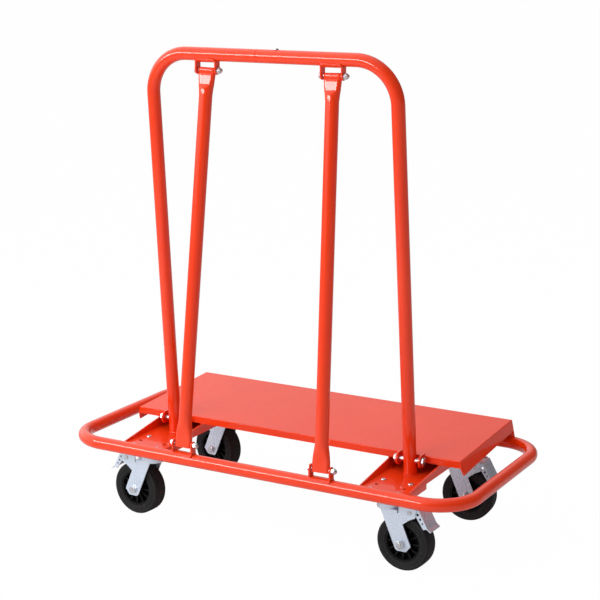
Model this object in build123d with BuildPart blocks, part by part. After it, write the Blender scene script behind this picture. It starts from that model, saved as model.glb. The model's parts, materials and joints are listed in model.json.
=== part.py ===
from build123d import *
import os
from math import atan, cos, hypot, radians, sin

# Drywall cart: a low deck on four swivel casters, a bumper ring around it and
# an upright tube frame with two braces that sheets lean against.
# Millimetres. Origin on the floor under the middle of the ring, +X along the
# length, -Y the brace side, +Z up.

# ---------------------------------------------------------------- dimensions
tube_radius = 15.0
tube_wall = 2.0
running_gap = 0.05          # radial clearance of everything that turns
bolt_gap = 0.2              # radial clearance of a bolt in its hole
thread_gap = 0.02           # a nut's bore stands just clear of its bolt
thread_end = 1.5            # bolt end that shows beyond its nut

# bumper ring
ring_half_length = 508.0
ring_half_width = 242.0
ring_corner_radius = 92.0
ring_height = 182.4         # centre line above the floor

# cross channels
channel_x = 314.0
channel_width = 118.0
channel_sheet = 3.0
web_top = 181.0
flange_lean = 8.0           # degrees that the flanges splay outward
flange_start_y = -203.0     # front end of the turned-up flanges
flange_start_rise = 3.0     # their height above the web there
flange_deck_gap = 5.0       # below the deck's front flange
deck_gap = 1.0              # between the channel flanges and the deck's sheet

# deck
deck_half_length = 429.0
deck_front_y = -60.0
deck_back_y = 243.0
deck_sheet = 2.5
deck_front_top = 223.2
deck_back_top = 238.0
deck_front_drop = 16.4      # depth of the front flange
end_flange_front = 34.0     # depth of the end flanges at the front and the back
end_flange_back = 26.0
end_flange_lean = 12.0      # degrees that the end flanges splay outward
end_flange_cut = 8.0        # how far their front edge slants back below the front flange
deck_bend_radius = 2.0

# upright frame
leg_foot_x = 315.0
leg_foot_y = -73.5
leg_top_x = 306.7
top_bar_y = -155.0
top_bar_height = 1098.0
upright_corner_radius = 94.0
seam_x = -27.0              # where the two halves meet in the top bar
sleeve_length = 150.0
joint_screw_x = 19.0
joint_screw_radius = 3.0
joint_screw_length = 12.0
joint_screw_head = 5.5      # radius of its round head

# braces
brace_top_x = 157.5
brace_top_height = 1063.0
brace_foot_x = 179.2
brace_foot_height = 218.0
brace_flat_half_width = 21.5
brace_flat_half_thickness = 7.0
brace_end_overhang = 6.5    # flattened end beyond its bolt
brace_foot_flat = 16.0      # where the taper from flat to round starts and ends,
brace_foot_taper = 62.0     # measured from the bolt along the brace
brace_top_flat = 12.0
brace_top_taper = 50.0
brace_bolt_radius = 4.0

# clevises that hold the brace ends
clevis_half_gap = 23.5
clevis_sheet = 3.5
clevis_ear_radius = 9.5
saddle_sheet = 3.0
saddle_angle = 100.0
ear_root = 6.0              # how deep the ears are coped over the tube

# ears that hold the legs
leg_bolt_y = -76.4
leg_bolt_height = 214.0
leg_bolt_radius = 5.0
leg_ear_half_gap = 25.5
leg_ear_sheet = 4.0
leg_ear_radius = 15.0

# caster mounting
swivel_y = 172.6
caster_top = 166.0          # total height of a caster
plate_size = 95.0
plate_sheet = 4.0
plate_corner = 8.0
plate_bolt_spacing = 66.7
plate_bolt_radius = 4.0
spare_hole_radius = 5.0
nut_height = 6.5
carriage_head_radius = 6.5
carriage_head_height = 2.4
pad_width = channel_width
pad_length = 129.0
pad_sheet = 3.0
pad_corner = 6.0
web_bottom = web_top - channel_sheet

# caster swivel
kingpin_radius = 6.0
kingpin_head_radius = 10.0
kingpin_head_height = 4.0
ball_radius = 3.0
ball_circle_radius = 20.0
ball_count = 12
cup_radius = 27.0
cup_bottom = 152.0
cup_wall = 4.0
cup_floor = 3.0
dome_radius = 29.0
dome_top = 149.0

# caster fork
trail = 40.5                # wheel axle behind the king pin
fork_half_gap = 23.5
fork_sheet = 3.0
crown_top = 140.0
crown_front = 31.0          # the crown sheet ends here, ahead of the king pin
crown_back = -11.5          # the cheeks start here, behind it
shoulder_top = 151.0

# wheel
wheel_radius = 63.5
tyre_half_width = 20.0
tyre_seat_radius = 43.0
rim_half_width = 17.0
hub_radius = 17.0
hub_half_width = 22.0
rim_web_half = 3.0
rib_count = 12
rib_thickness = 3.0
rim_barrel = 4.0            # thickness of the rim under the tyre
axle_radius = 5.0
sleeve_radius = 9.0

# brake pedal
pedal_pivot_u = 60.0
pedal_pivot_z = 139.0
pedal_pin_radius = 3.0
pedal_half_width = 23.0
pedal_sheet = 2.5
spring_wire = 0.7
spring_radius = 4.6
spring_turns = 6
spring_pitch = 2.2

# fasteners
hex_m10 = 17.0              # across flats
hex_m8 = 13.0
hex_chamfer = 0.8
head_m10 = 6.4              # head and nut heights
nut_m10 = 8.0
head_m8 = 5.3

# caster name, side along X, side along Y, steering angle at rest in degrees
casters = [
    ("front_left", -1, -1, -4.0),
    ("front_right", 1, -1, -1.5),
    ("back_left", -1, 1, -9.8),
    ("back_right", 1, 1, 3.6),
]

os.makedirs("parts", exist_ok=True)


def finish(part, name):
    part.label = name
    export_step(part, f"parts/{name}.step")


# ------------------------------------------------------------- bumper ring
ring_top = ring_height + tube_radius
with BuildPart() as bumper_ring:
    with BuildLine(Plane.XY.offset(ring_height)) as ring_path:
        corners = [(0, -ring_half_width), (ring_half_length, -ring_half_width),
                   (ring_half_length, ring_half_width), (-ring_half_length, ring_half_width),
                   (-ring_half_length, -ring_half_width), (0, -ring_half_width)]
        Polyline(*corners)
        fillet(ring_path.vertices().filter_by(lambda v: abs(v.X) > 1), ring_corner_radius)
    with BuildSketch(Plane((0, -ring_half_width, ring_height), x_dir=(0, 1, 0), z_dir=(1, 0, 0))):
        Circle(tube_radius)
        Circle(tube_radius - tube_wall, mode=Mode.SUBTRACT)
    sweep(path=ring_path.wire())
finish(bumper_ring.part, "bumper_ring")


# ------------------------------------------------------------------- deck
deck_length_y = deck_back_y - deck_front_y
deck_slope = (deck_back_top - deck_front_top) / deck_length_y


def deck_top_at(y):
    return deck_front_top + deck_slope * (y - deck_front_y)


def deck_under_at(y):
    return deck_top_at(y) - deck_sheet / cos(atan(deck_slope))


def end_flange_plane(side):
    """Plane through the deck's sloping end edge, its normal outward: local x
    runs back along that edge, and local y points up on the right-hand side."""
    along = Vector(0, 1, deck_slope).normalized()
    up = Vector(0, -deck_slope, 1).normalized()
    lean = radians(end_flange_lean)
    outward = Vector(side, 0, 0) * cos(lean) + up * sin(lean)
    return Plane((side * deck_half_length, deck_front_y, deck_front_top), x_dir=along, z_dir=outward)


def on_end_flange(back, depth):
    """Point of the end flange's plane: back is the distance behind the deck's
    front edge, depth the distance below the sloping end edge."""
    slope = atan(deck_slope)
    return (back / cos(slope) - depth * sin(slope), -depth * cos(slope) / cos(radians(end_flange_lean)))


deck_inner_front = deck_front_y + deck_sheet
deck_inner_back = deck_back_y - deck_sheet
deck_front_bottom = deck_front_top - deck_front_drop
with BuildPart() as deck:
    # top and the front and back flanges, one folded strip
    with BuildSketch(Plane.YZ.offset(-ring_half_length)):
        with BuildLine():
            Polyline((deck_front_y, deck_front_bottom), (deck_front_y, deck_front_top),
                     (deck_back_y, deck_back_top), (deck_back_y, ring_top),
                     (deck_inner_back, ring_top), (deck_inner_back, deck_under_at(deck_inner_back)),
                     (deck_inner_front, deck_under_at(deck_inner_front)),
                     (deck_inner_front, deck_front_bottom), close=True)
        make_face()
    extrude(amount=2 * ring_half_length)
    for flange_plane in (end_flange_plane(1), end_flange_plane(-1)):
        split(bisect_by=flange_plane, keep=Keep.BOTTOM)
    # end flanges that splay outward, deeper at the front
    with BuildSketch(end_flange_plane(1)):
        with BuildLine():
            Polyline(on_end_flange(0, 0), on_end_flange(deck_length_y, 0),
                     on_end_flange(deck_length_y, end_flange_back),
                     on_end_flange(end_flange_cut, end_flange_front),
                     on_end_flange(0, deck_front_drop), close=True)
        make_face()
    extrude(amount=-deck_sheet)
    mirror(about=Plane.YZ)
    split(bisect_by=Plane.XZ.offset(-deck_back_y), keep=Keep.TOP)
    top_face = deck.faces().sort_by(SortBy.AREA)[-1]
    fillet(top_face.edges(), deck_bend_radius)
finish(deck.part, "deck")


# --------------------------------------------------------- cross channels
def make_channel(side):
    centre = side * channel_x
    half = channel_width / 2
    lean = radians(flange_lean)
    back_end = ring_half_width - tube_radius
    with BuildPart() as channel:
        with BuildSketch(Plane.XY.offset(web_bottom)):
            with Locations((centre, 0)):
                Rectangle(channel_width, 2 * ring_half_width)
        extrude(amount=channel_sheet)
        flange_plane = Plane((centre + half, 0, web_bottom), x_dir=(0, 1, 0),
                             z_dir=(cos(lean), 0, -sin(lean)))
        outline = [(flange_start_y, web_top + flange_start_rise),
                   (deck_front_y - deck_gap, deck_front_bottom - flange_deck_gap),
                   (deck_inner_front + deck_gap, deck_front_bottom - flange_deck_gap),
                   (deck_inner_front + deck_gap, deck_under_at(deck_inner_front) - deck_gap),
                   (back_end, deck_under_at(back_end) - deck_gap),
                   (back_end, web_bottom), (flange_start_y, web_bottom)]
        with BuildSketch(flange_plane):
            with BuildLine():
                Polyline(*[(y, (z - web_bottom) / cos(lean)) for y, z in outline], close=True)
            make_face()
        extrude(amount=-channel_sheet)
        mirror(about=Plane.YZ.offset(centre))
        # web ends coped to the front and back tubes of the ring
        with BuildSketch(Plane.YZ.offset(centre - channel_width)):
            with Locations((-ring_half_width, ring_height), (ring_half_width, ring_height)):
                Circle(tube_radius)
        extrude(amount=2 * channel_width, mode=Mode.SUBTRACT)
        # caster bolt holes, and a spare pair between each four
        for y in (-swivel_y, swivel_y):
            with BuildSketch(Plane.XY.offset(web_bottom)):
                with Locations((centre, y)):
                    with GridLocations(plate_bolt_spacing, plate_bolt_spacing, 2, 2):
                        Circle(plate_bolt_radius + bolt_gap)
                    with GridLocations(plate_bolt_spacing, 1, 2, 1):
                        Circle(spare_hole_radius)
            extrude(amount=channel_sheet, mode=Mode.SUBTRACT)
    return channel.part


finish(make_channel(-1), "cross_channel_left")
finish(make_channel(1), "cross_channel_right")

# caster pads: shallow trays welded under the channels, open side up
pad_bottom = caster_top
with BuildPart() as caster_pads:
    for name, side_x, side_y, angle in casters:
        centre = (side_x * channel_x, side_y * swivel_y)
        with BuildSketch(Plane.XY.offset(pad_bottom)):
            with Locations(centre):
                RectangleRounded(pad_width, pad_length, pad_corner)
        extrude(amount=web_bottom - pad_bottom)
        with BuildSketch(Plane.XY.offset(pad_bottom + pad_sheet)):
            with Locations(centre):
                RectangleRounded(pad_width - 2 * pad_sheet, pad_length - 2 * pad_sheet,
                                 pad_corner - pad_sheet)
        extrude(amount=web_bottom - pad_bottom - pad_sheet, mode=Mode.SUBTRACT)
        with BuildSketch(Plane.XY.offset(pad_bottom)):
            with Locations(centre):
                with GridLocations(plate_bolt_spacing, plate_bolt_spacing, 2, 2):
                    Circle(plate_bolt_radius + bolt_gap)
        extrude(amount=pad_sheet, mode=Mode.SUBTRACT)
    with BuildSketch(Plane.YZ.offset(-ring_half_length)):
        with Locations((-ring_half_width, ring_height), (ring_half_width, ring_height)):
            Circle(tube_radius)
    extrude(amount=2 * ring_half_length, mode=Mode.SUBTRACT)
finish(caster_pads.part, "caster_pads")


# ---------------------------------------------------------- upright frame
leg_rise = hypot(top_bar_height - web_top, top_bar_y - leg_foot_y)
leg_up = Vector(0, top_bar_y - leg_foot_y, top_bar_height - web_top).normalized()
upright_plane = Plane((0, leg_foot_y, web_top), x_dir=(1, 0, 0), z_dir=Vector(1, 0, 0).cross(leg_up))
bolt_share = (leg_bolt_height - web_top) / (top_bar_height - web_top)
leg_bolt_x = leg_foot_x + (leg_top_x - leg_foot_x) * bolt_share


def make_upright_half(side):
    # the centre line starts below the web, and the foot is cut flush with it
    below = -2 * tube_radius
    seam_gap = 0.1
    lean_per_rise = (leg_top_x - leg_foot_x) / leg_rise
    start = (side * (leg_foot_x + lean_per_rise * below), below)
    corner = (side * leg_top_x, leg_rise)
    with BuildPart() as half:
        with BuildLine(upright_plane) as path:
            Polyline(start, corner, (seam_x + side * seam_gap, leg_rise))
            top_points = path.vertices().group_by(Axis.Z)[-1].sort_by(Axis.X)
            fillet(top_points[-1] if side > 0 else top_points[0], upright_corner_radius)
        with BuildSketch(Plane(path.wire() @ 0, x_dir=(0, 1, 0), z_dir=path.wire() % 0)):
            Circle(tube_radius)
            Circle(tube_radius - tube_wall, mode=Mode.SUBTRACT)
        sweep(path=path.wire())
        split(bisect_by=Plane.XY.offset(web_top), keep=Keep.TOP)
        # hole for the leg bolt
        with BuildSketch(Plane.YZ.offset(side * leg_bolt_x - 2 * tube_radius)):
            with Locations((leg_bolt_y, leg_bolt_height)):
                Circle(leg_bolt_radius + bolt_gap)
        extrude(amount=4 * tube_radius, mode=Mode.SUBTRACT)
        # hole for the joint screw, in the top of the right half only
        if side > 0:
            with BuildSketch(Plane.XY.offset(top_bar_height)):
                with Locations((joint_screw_x, top_bar_y)):
                    Circle(joint_screw_radius + bolt_gap)
            extrude(amount=2 * tube_radius, mode=Mode.SUBTRACT)
    return half.part


finish(make_upright_half(-1), "upright_left")
finish(make_upright_half(1), "upright_right")

sleeve_outer = tube_radius - tube_wall - 2 * running_gap
with BuildPart() as upright_sleeve:
    with BuildSketch(Plane.YZ.offset(seam_x - sleeve_length / 2)):
        with Locations((top_bar_y, top_bar_height)):
            Circle(sleeve_outer)
            Circle(sleeve_outer - tube_wall, mode=Mode.SUBTRACT)
    extrude(amount=sleeve_length)
    with BuildSketch(Plane.XY.offset(top_bar_height)):
        with Locations((joint_screw_x, top_bar_y)):
            Circle(joint_screw_radius + thread_gap)
    extrude(amount=2 * tube_radius, mode=Mode.SUBTRACT)
finish(upright_sleeve.part, "upright_sleeve")


# --------------------------------------------------------------- fasteners
def make_bolt(seat, shank_radius, shank_length, across_flats, head_height):
    """Hex bolt: head on the far side of the seat plane, shank along its -z."""
    with BuildPart() as bolt:
        with BuildSketch(seat):
            RegularPolygon(across_flats / 2, 6, major_radius=False)
        extrude(amount=head_height)
        chamfer(bolt.faces().sort_by(Axis(seat.origin, seat.z_dir))[-1].edges(), hex_chamfer)
        with BuildSketch(seat):
            Circle(shank_radius)
        extrude(amount=-shank_length)
    return bolt.part


def make_nut(seat, bore_radius, across_flats, height):
    """Hex nut that stands on the seat plane, on its +z side."""
    with BuildPart() as nut:
        with BuildSketch(seat):
            RegularPolygon(across_flats / 2, 6, major_radius=False)
        extrude(amount=height)
        chamfer(nut.faces().sort_by(Axis(seat.origin, seat.z_dir))[-1].edges(), hex_chamfer)
        with BuildSketch(seat):
            Circle(bore_radius)
        extrude(amount=height, mode=Mode.SUBTRACT)
    return nut.part


def make_dome_nut(seat, bore_radius, across_flats, hex_height, bore_depth):
    """Cap nut: a hex with a round dome, blind bore from the seat side."""
    dome = across_flats / 2 - hex_chamfer
    with BuildPart() as nut:
        with BuildSketch(seat):
            RegularPolygon(across_flats / 2, 6, major_radius=False)
        extrude(amount=hex_height)
        with BuildSketch(Plane(seat.origin, x_dir=seat.x_dir, z_dir=seat.y_dir)):
            # local x lies in the seat, local y points back along the bolt
            with BuildLine():
                Line((0, 0), (dome, 0))
                Line((dome, 0), (dome, -hex_height))
                RadiusArc((dome, -hex_height), (0, -hex_height - dome), dome)
                Line((0, -hex_height - dome), (0, 0))
            make_face()
        revolve(axis=Axis(seat.origin, seat.z_dir))
        with BuildSketch(seat):
            Circle(bore_radius)
        extrude(amount=bore_depth, mode=Mode.SUBTRACT)
    return nut.part


def make_round_head(seat, shank_radius, shank_length, head_radius, head_height):
    """Mushroom head that stands on the seat plane, shank along its -z."""
    rim = 0.4
    with BuildPart() as bolt:
        with BuildSketch(seat):
            Circle(head_radius)
        extrude(amount=head_height)
        fillet(bolt.faces().sort_by(Axis(seat.origin, seat.z_dir))[-1].edges(), head_height - rim)
        with BuildSketch(seat):
            Circle(shank_radius)
        extrude(amount=-shank_length)
    return bolt.part


screw_seat = Plane((joint_screw_x, top_bar_y, top_bar_height + tube_radius))
finish(make_round_head(screw_seat, joint_screw_radius, joint_screw_length, joint_screw_head,
                       joint_screw_radius), "upright_joint_screw")


def group(parts, name):
    finish(Compound(children=parts), name)


leg_clamp = leg_ear_half_gap + leg_ear_sheet
leg_bolts = []
leg_nuts = []
for side in (-1, 1):
    head_x = side * leg_bolt_x + leg_clamp
    nut_x = side * leg_bolt_x - leg_clamp
    head_seat = Plane((head_x, leg_bolt_y, leg_bolt_height), x_dir=(0, 1, 0), z_dir=(1, 0, 0))
    nut_seat = Plane((nut_x, leg_bolt_y, leg_bolt_height), x_dir=(0, 1, 0), z_dir=(-1, 0, 0))
    leg_bolt_length = 2 * leg_clamp + nut_m10 + thread_end
    leg_bolts.append(make_bolt(head_seat, leg_bolt_radius, leg_bolt_length, hex_m10, head_m10))
    leg_nuts.append(make_nut(nut_seat, leg_bolt_radius + thread_gap, hex_m10, nut_m10))
group(leg_bolts, "leg_bolts")
group(leg_nuts, "leg_nuts")

# ears on the deck's front flange, one on each side of each leg
with BuildPart() as leg_ears:
    for side in (-1, 1):
        for inner in (leg_ear_half_gap, -leg_ear_half_gap - leg_ear_sheet):
            with BuildSketch(Plane.YZ.offset(side * leg_bolt_x + inner)):
                with Locations((leg_bolt_y, leg_bolt_height)):
                    Circle(leg_ear_radius)
                    Rectangle(deck_front_y - leg_bolt_y, 2 * leg_ear_radius,
                              align=(Align.MIN, Align.CENTER))
                    Circle(leg_bolt_radius + bolt_gap, mode=Mode.SUBTRACT)
            extrude(amount=leg_ear_sheet)
finish(leg_ears.part, "leg_ears")


# ------------------------------------------------------------------ braces
def make_brace(side):
    foot = Vector(side * brace_foot_x, -ring_half_width, brace_foot_height)
    top = Vector(side * brace_top_x, top_bar_y, brace_top_height)
    length = (top - foot).length
    along = (top - foot).normalized()

    def section(distance):
        return Plane(foot + along * distance, x_dir=Vector(0, 1, 0).cross(along), z_dir=along)

    with BuildPart() as brace:
        for inset, mode in ((0, Mode.ADD), (tube_wall, Mode.SUBTRACT)):
            flat_width = brace_flat_half_width - inset
            flat_thickness = brace_flat_half_thickness - inset
            # flat foot end, taper, round middle, taper, flat top end
            with BuildSketch(section(-brace_end_overhang)):
                Ellipse(flat_width, flat_thickness)
            extrude(amount=brace_end_overhang + brace_foot_flat, mode=mode)
            with BuildSketch(section(brace_foot_flat)):
                Ellipse(flat_width, flat_thickness)
            with BuildSketch(section(brace_foot_taper)):
                Circle(tube_radius - inset)
            loft(mode=mode)
            with BuildSketch(section(brace_foot_taper)):
                Circle(tube_radius - inset)
            extrude(amount=length - brace_foot_taper - brace_top_taper, mode=mode)
            with BuildSketch(section(length - brace_top_taper)):
                Circle(tube_radius - inset)
            with BuildSketch(section(length - brace_top_flat)):
                Ellipse(flat_width, flat_thickness)
            loft(mode=mode)
            with BuildSketch(section(length - brace_top_flat)):
                Ellipse(flat_width, flat_thickness)
            extrude(amount=brace_top_flat + brace_end_overhang, mode=mode)
        for end in (foot, top):
            with BuildSketch(Plane.YZ.offset(end.X - 2 * brace_flat_half_width)):
                with Locations((end.Y, end.Z)):
                    Circle(brace_bolt_radius + bolt_gap)
            extrude(amount=4 * brace_flat_half_width, mode=Mode.SUBTRACT)
    return brace.part


finish(make_brace(-1), "brace_left")
finish(make_brace(1), "brace_right")


def make_clevis(x, tube_y, tube_z, bolt_z):
    """Saddle on a tube that runs along X, with two ears for a cross bolt."""
    reach = bolt_z - tube_z
    toward = 1 if reach > 0 else -1
    outer = clevis_half_gap + clevis_sheet

    def tube_plane(offset):
        return Plane((x + offset, tube_y, tube_z), x_dir=(0, 1, 0), z_dir=(1, 0, 0))

    with BuildPart() as clevis:
        with BuildSketch(tube_plane(-outer)):
            with BuildLine():
                arc = CenterArc((0, 0), tube_radius + saddle_sheet,
                                toward * 90 - saddle_angle / 2, saddle_angle)
                Polyline(arc @ 1, (0, 0), arc @ 0)
            make_face()
            Circle(tube_radius, mode=Mode.SUBTRACT)
        extrude(amount=2 * outer)
        for start in (-outer, clevis_half_gap):
            with BuildSketch(tube_plane(start)):
                with Locations((0, reach)):
                    Circle(clevis_ear_radius)
                with Locations((0, (reach + toward * (tube_radius - ear_root)) / 2)):
                    Rectangle(2 * clevis_ear_radius, abs(reach) - tube_radius + ear_root)
                Circle(tube_radius, mode=Mode.SUBTRACT)
                with Locations((0, reach)):
                    Circle(brace_bolt_radius + bolt_gap, mode=Mode.SUBTRACT)
            extrude(amount=clevis_sheet)
    return clevis.part


upper_clevises = []
lower_clevises = []
for side in (-1, 1):
    upper_clevises.append(make_clevis(side * brace_top_x, top_bar_y, top_bar_height, brace_top_height))
    lower_clevises.append(make_clevis(side * brace_foot_x, -ring_half_width, ring_height, brace_foot_height))
group(upper_clevises, "upper_clevises")
group(lower_clevises, "lower_clevises")

brace_bolts = []
brace_nuts = []
clevis_outer = clevis_half_gap + clevis_sheet
for side in (-1, 1):
    for x, y, z in ((brace_top_x, top_bar_y, brace_top_height),
                    (brace_foot_x, -ring_half_width, brace_foot_height)):
        head_seat = Plane((side * x - clevis_outer, y, z), x_dir=(0, 1, 0), z_dir=(-1, 0, 0))
        nut_seat = Plane((side * x + clevis_outer, y, z), x_dir=(0, 1, 0), z_dir=(1, 0, 0))
        brace_bolt_length = 2 * clevis_outer + nut_height + thread_end
        brace_bolts.append(make_bolt(head_seat, brace_bolt_radius, brace_bolt_length, hex_m8, head_m8))
        brace_nuts.append(make_dome_nut(nut_seat, brace_bolt_radius + thread_gap, hex_m8, nut_height,
                                        nut_height + 2 * thread_end))
group(brace_bolts, "brace_bolts")
group(brace_nuts, "brace_dome_nuts")

# ------------------------------------------------- caster plates and bolts
plate_bottom = caster_top - plate_sheet
groove_radius = ball_radius + running_gap
ball_height = (cup_bottom + dome_top) / 2


def make_caster_plate(centre):
    """Top plate with the upper ball race pressed down in its middle."""
    with BuildPart() as plate:
        with BuildSketch(Plane.XY.offset(plate_bottom)):
            with Locations(centre):
                RectangleRounded(plate_size, plate_size, plate_corner)
        extrude(amount=plate_sheet)
        with BuildSketch(Plane.XY.offset(cup_bottom)):
            with Locations(centre):
                Circle(cup_radius)
        extrude(amount=plate_bottom - cup_bottom)
        with BuildSketch(Plane.XY.offset(cup_bottom + cup_floor)):
            with Locations(centre):
                Circle(cup_radius - cup_wall)
        extrude(amount=caster_top - cup_bottom - cup_floor, mode=Mode.SUBTRACT)
        with BuildSketch(Plane.XY.offset(cup_bottom)):
            with Locations(centre):
                Circle(kingpin_radius + running_gap)
        extrude(amount=cup_floor, mode=Mode.SUBTRACT)
        with BuildSketch(Plane.XY.offset(plate_bottom)):
            with Locations(centre):
                with GridLocations(plate_bolt_spacing, plate_bolt_spacing, 2, 2):
                    Circle(plate_bolt_radius + bolt_gap)
        extrude(amount=plate_sheet, mode=Mode.SUBTRACT)
        with BuildSketch(Plane.XZ.offset(-centre[1])):
            with Locations((centre[0] + ball_circle_radius, ball_height)):
                Circle(groove_radius)
        revolve(axis=Axis((centre[0], centre[1], 0), (0, 0, 1)), mode=Mode.SUBTRACT)
    return plate.part


def make_kingpin(centre):
    """Rivet through the plate's cup and the fork's crown, a head at each end."""
    head_chamfer = 1.2
    lower_seat = dome_top - fork_sheet - running_gap
    upper_seat = cup_bottom + cup_floor
    with BuildPart() as pin:
        with BuildSketch(Plane.XY.offset(lower_seat - kingpin_head_height)):
            with Locations(centre):
                Circle(kingpin_head_radius)
        extrude(amount=kingpin_head_height)
        with BuildSketch(Plane.XY.offset(lower_seat)):
            with Locations(centre):
                Circle(kingpin_radius)
        extrude(amount=upper_seat - lower_seat)
        with BuildSketch(Plane.XY.offset(upper_seat)):
            with Locations(centre):
                Circle(kingpin_head_radius)
        extrude(amount=kingpin_head_height)
        chamfer(pin.edges().filter_by(GeomType.CIRCLE).group_by(Axis.Z)[-1], head_chamfer)
        chamfer(pin.edges().filter_by(GeomType.CIRCLE).group_by(Axis.Z)[0], head_chamfer)
    return pin.part


def make_balls(centre):
    with BuildPart() as balls:
        with BuildSketch(Plane.XZ.offset(-centre[1])):
            with BuildLine():
                Line((centre[0] + ball_circle_radius, ball_height - ball_radius),
                     (centre[0] + ball_circle_radius, ball_height + ball_radius))
                CenterArc((centre[0] + ball_circle_radius, ball_height), ball_radius, -90, 180)
            make_face()
        revolve(axis=Axis((centre[0] + ball_circle_radius, centre[1], 0), (0, 0, 1)))
    first = balls.part
    turn = 360 / ball_count
    axis = Axis((centre[0], centre[1], 0), (0, 0, 1))
    return [first.rotate(axis, turn * index) for index in range(ball_count)]


caster_bolt_length = web_top - plate_bottom + nut_height + thread_end
plates = []
kingpins = []
balls = []
caster_bolts = []
caster_nuts = []
for name, side_x, side_y, angle in casters:
    centre = (side_x * channel_x, side_y * swivel_y)
    plates.append(make_caster_plate(centre))
    kingpins.append(make_kingpin(centre))
    balls.extend(make_balls(centre))
    for spot in GridLocations(plate_bolt_spacing, plate_bolt_spacing, 2, 2):
        x = centre[0] + spot.position.X
        y = centre[1] + spot.position.Y
        caster_bolts.append(make_round_head(Plane((x, y, web_top)), plate_bolt_radius, caster_bolt_length,
                                            carriage_head_radius, carriage_head_height))
        under = Plane((x, y, plate_bottom), x_dir=(1, 0, 0), z_dir=(0, 0, -1))
        caster_nuts.append(make_nut(under, plate_bolt_radius + thread_gap, hex_m8, nut_height))
group(plates, "caster_plates")
group(kingpins, "kingpins")
group(balls, "swivel_balls")
group(caster_bolts, "caster_bolts")
group(caster_nuts, "caster_nuts")


# ----------------------------------------------------------------- casters
def caster_plane(side_x, side_y, angle):
    """Caster frame: origin on the floor under the king pin, local x (u) along
    the trail, local y (v) across the wheel, local z up."""
    turned = radians(angle)
    heading = (side_x * cos(turned), side_x * sin(turned), 0)
    return Plane((side_x * channel_x, side_y * swivel_y, 0), x_dir=heading, z_dir=(0, 0, 1))


def side_plane(base, v):
    """Plane across the caster at distance v, with local x = u and local y = z.
    It looks toward -v, so a positive extrusion goes to smaller v."""
    return Plane(base.from_local_coords((0, v, 0)), x_dir=base.x_dir, z_dir=-base.y_dir)


def across_axis(base, u, z):
    return Axis(base.from_local_coords((u, 0, z)), base.y_dir)


def swivel_axis(base):
    return Axis(base.origin, (0, 0, 1))


def make_fork(base):
    outer = fork_half_gap + fork_sheet
    slot_front = crown_front + 3
    slot_bottom = crown_top - 6
    cheek = [(crown_back, crown_top), (26.5, 52), (31, 48), (53, 48), (64.5, 62), (44, 110),
             (61, 123), (74, 129.5), (76, shoulder_top - 3), (73, shoulder_top),
             (slot_front + 3, shoulder_top), (slot_front, shoulder_top - 3),
             (slot_front, slot_bottom), (crown_front, slot_bottom), (crown_front, crown_top)]
    with BuildPart(base) as fork:
        # crown: round behind the king pin, straight between the cheeks
        with BuildSketch(base.offset(crown_top - fork_sheet)):
            Circle(dome_radius)
            with Locations((crown_back, 0)):
                Rectangle(crown_front - crown_back, 2 * outer, align=(Align.MIN, Align.CENTER))
        extrude(amount=fork_sheet)
        # pressed dome that carries the lower ball race
        with BuildSketch(base.offset(crown_top)):
            Circle(dome_radius)
        extrude(amount=dome_top - crown_top)
        with BuildSketch(base.offset(crown_top - fork_sheet)):
            Circle(dome_radius - cup_wall)
        extrude(amount=dome_top - crown_top, mode=Mode.SUBTRACT)
        with BuildSketch(base.offset(crown_top)):
            Circle(kingpin_radius + running_gap)
        extrude(amount=dome_top - crown_top, mode=Mode.SUBTRACT)
        with BuildSketch(side_plane(base, 0)):
            with Locations((ball_circle_radius, ball_height)):
                Circle(groove_radius)
        revolve(axis=swivel_axis(base), mode=Mode.SUBTRACT)
        # two cheeks
        for start in (outer, -fork_half_gap):
            with BuildSketch(side_plane(base, start)):
                with BuildLine():
                    Polyline(*cheek, close=True)
                make_face()
            extrude(amount=fork_sheet)
        # axle and pedal pin holes through both cheeks
        with BuildSketch(side_plane(base, outer)):
            with Locations((trail, wheel_radius)):
                Circle(axle_radius + running_gap)
            with Locations((pedal_pivot_u, pedal_pivot_z)):
                Circle(pedal_pin_radius + running_gap)
        extrude(amount=2 * outer, mode=Mode.SUBTRACT)
    return fork.part


def make_tyre(base):
    """Solid rubber tyre: two raised rings on each side wall, round shoulders
    and a slightly crowned tread."""
    half = tyre_half_width
    profile = [(tyre_seat_radius, half - 3), (tyre_seat_radius + 2, half - 1.2),
               (tyre_seat_radius + 4, half - 1.2), (tyre_seat_radius + 5, half - 2.2),
               (tyre_seat_radius + 8, half - 1.4), (tyre_seat_radius + 8.8, half - 0.4),
               (tyre_seat_radius + 10.5, half - 0.4), (tyre_seat_radius + 11.5, half - 1.4)]
    crown = 0.3
    shoulder = 6.0
    inset = shoulder * (1 - sin(radians(45)))
    edge = wheel_radius - crown
    side = half - 0.4
    with BuildPart(base) as tyre:
        with BuildSketch(Plane(base.from_local_coords((trail, 0, wheel_radius)), x_dir=(0, 0, 1),
                               z_dir=base.x_dir)):
            # local x is the radius, local y runs across the wheel
            with BuildLine():
                Polyline(*profile, (edge - shoulder, side))
                ThreePointArc((edge - shoulder, side), (edge - inset, side - inset), (edge, side - shoulder))
                ThreePointArc((edge, side - shoulder), (wheel_radius, 0), (edge, shoulder - side))
                ThreePointArc((edge, shoulder - side), (edge - inset, inset - side), (edge - shoulder, -side))
                Polyline((edge - shoulder, -side), *[(r, -w) for r, w in reversed(profile)])
                Line((profile[0][0], -profile[0][1]), profile[0])
            make_face()
        revolve(axis=across_axis(base, trail, wheel_radius))
    return tyre.part


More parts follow.
